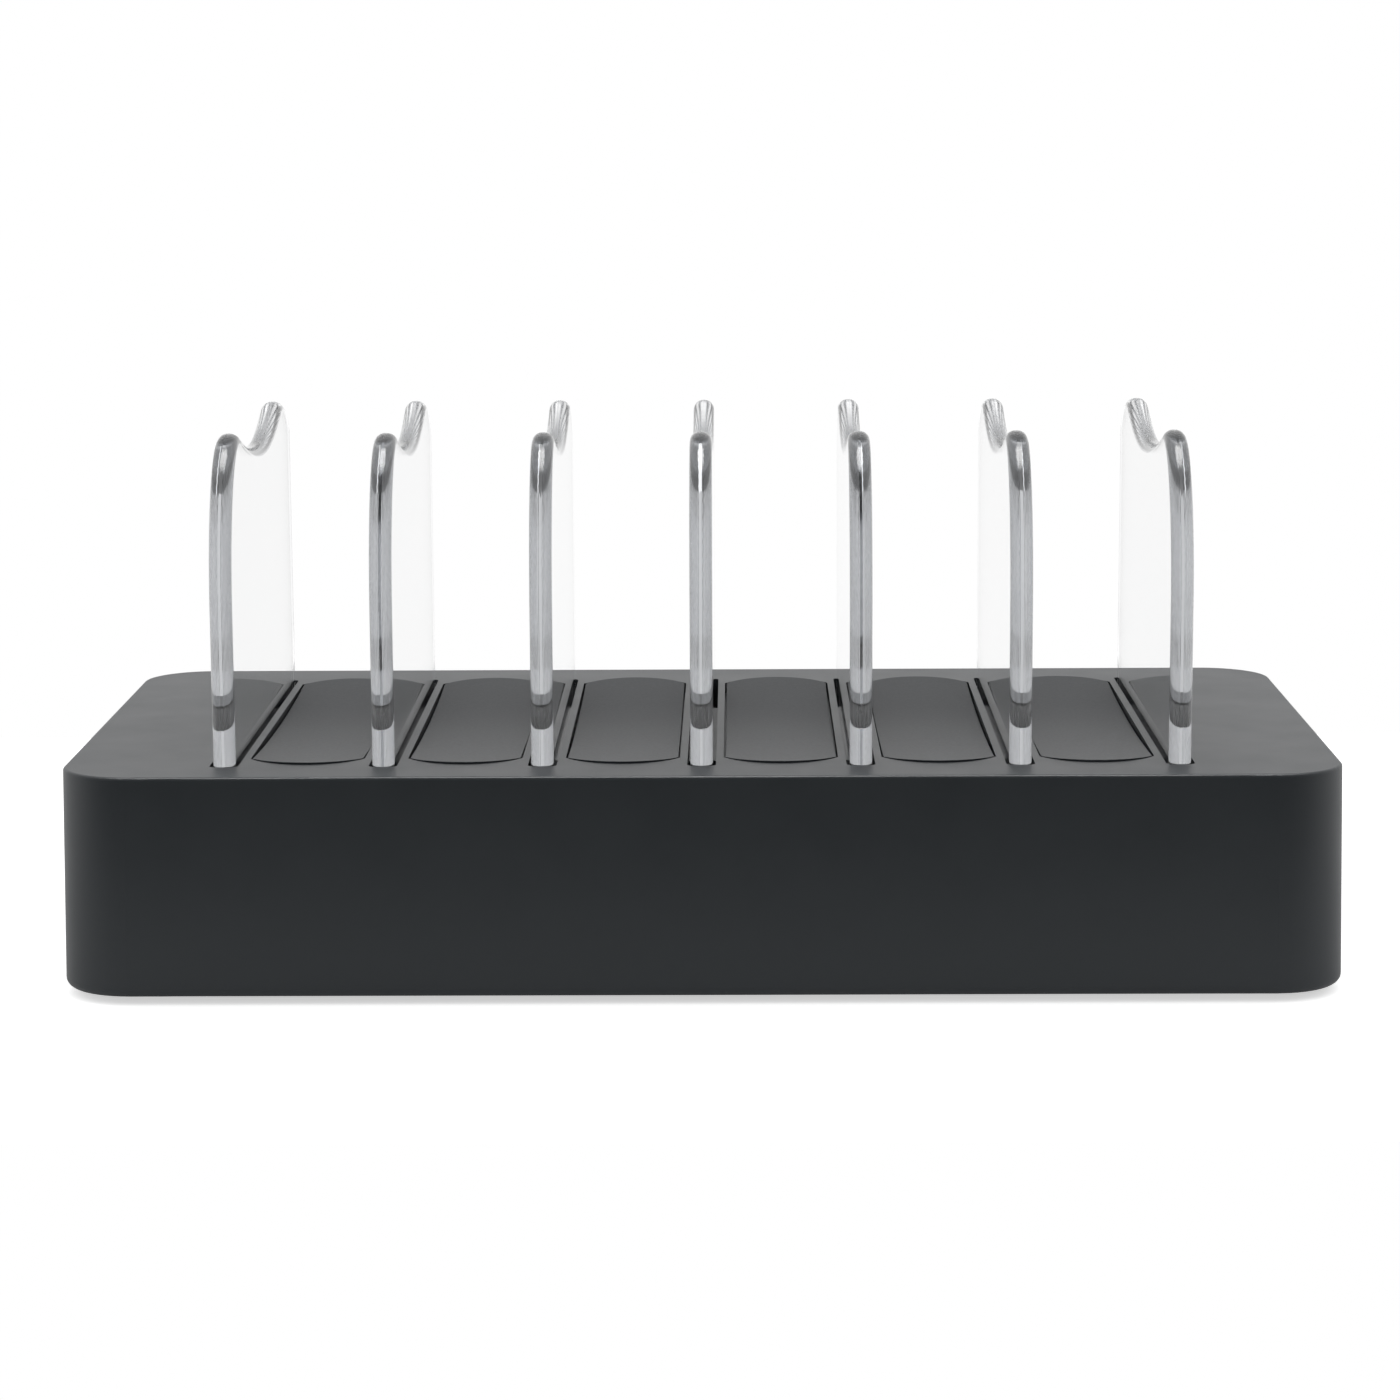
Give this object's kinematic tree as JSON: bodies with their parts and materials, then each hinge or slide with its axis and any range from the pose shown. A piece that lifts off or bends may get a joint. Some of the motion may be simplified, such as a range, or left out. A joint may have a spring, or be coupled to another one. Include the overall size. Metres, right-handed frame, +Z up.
{
  "type": "charging station organizer",
  "caption": "Low rounded charging base with clear horned dividers that lift out of slots in its top, soft pads between them, and charging sockets and a mains inlet in its back and side.",
  "frame": {"origin": "middle of the base, on the surface that the feet stand on", "axes": "+X along the row of dividers, to the right seen from the plain front face; +Y to the back, where the charging sockets are; +Z up"},
  "size_m": [0.17, 0.09, 0.0733],
  "materials": {
    "housing": "satin charcoal moulding",
    "cover": "fine-grained black moulding",
    "clear_acrylic": "clear, polished",
    "pad_rubber": "satin",
    "foot_rubber": "matt",
    "screw_steel": "black zinc",
    "socket_steel": "nickel plated",
    "tongue_plastic": "moulded",
    "contact_gold": "gold flash",
    "inlet_plastic": "moulded",
    "pin_brass": "nickel plated",
    "circuit_board": "solder mask",
    "ferrite": "ground ferrite",
    "winding_tape": "polyester tape",
    "capacitor_can": "sleeved can",
    "sink_aluminium": "mill finish",
    "chip_plastic": "moulded epoxy"
  },
  "bodies": {
    "base": {"top_shell": "housing", "bottom_cover": "cover", "case_screws": "screw_steel", "rubber_feet": "foot_rubber", "pad_1": "pad_rubber", "pad_2": "pad_rubber", "pad_3": "pad_rubber", "pad_4": "pad_rubber", "pad_5": "pad_rubber", "pad_6": "pad_rubber", "usb_shell_1": "socket_steel", "usb_shell_2": "socket_steel", "usb_shell_3": "socket_steel", "usb_shell_4": "socket_steel", "usb_shell_5": "socket_steel", "usb_shell_6": "socket_steel", "usb_tongue_1": "tongue_plastic", "usb_tongue_2": "tongue_plastic", "usb_tongue_3": "tongue_plastic", "usb_tongue_4": "tongue_plastic", "usb_tongue_5": "tongue_plastic", "usb_tongue_6": "tongue_plastic", "usb_contacts": "contact_gold", "power_inlet": "inlet_plastic", "inlet_pins": "pin_brass", "main_board": "circuit_board", "board_screws": "screw_steel", "transformer_core": "ferrite", "transformer_winding": "winding_tape", "bulk_capacitor": "capacitor_can", "output_capacitors": "capacitor_can", "line_choke": "ferrite", "heat_sinks": "sink_aluminium", "charger_chips": "chip_plastic"},
    "divider_1": {"divider_1": "clear_acrylic"},
    "divider_2": {"divider_2": "clear_acrylic"},
    "divider_3": {"divider_3": "clear_acrylic"},
    "divider_4": {"divider_4": "clear_acrylic"},
    "divider_5": {"divider_5": "clear_acrylic"},
    "divider_6": {"divider_6": "clear_acrylic"},
    "divider_7": {"divider_7": "clear_acrylic"}
  },
  "joints": [
    {"name": "divider_1_lift", "type": "slide", "parent": "base", "child": "divider_1", "axis": [0, 0, 1], "range_m": [0, 0.025]},
    {"name": "divider_2_lift", "type": "slide", "parent": "base", "child": "divider_2", "axis": [0, 0, 1], "range_m": [0, 0.025]},
    {"name": "divider_3_lift", "type": "slide", "parent": "base", "child": "divider_3", "axis": [0, 0, 1], "range_m": [0, 0.025]},
    {"name": "divider_4_lift", "type": "slide", "parent": "base", "child": "divider_4", "axis": [0, 0, 1], "range_m": [0, 0.025]},
    {"name": "divider_5_lift", "type": "slide", "parent": "base", "child": "divider_5", "axis": [0, 0, 1], "range_m": [0, 0.025]},
    {"name": "divider_6_lift", "type": "slide", "parent": "base", "child": "divider_6", "axis": [0, 0, 1], "range_m": [0, 0.025]},
    {"name": "divider_7_lift", "type": "slide", "parent": "base", "child": "divider_7", "axis": [0, 0, 1], "range_m": [0, 0.025]}
  ]
}
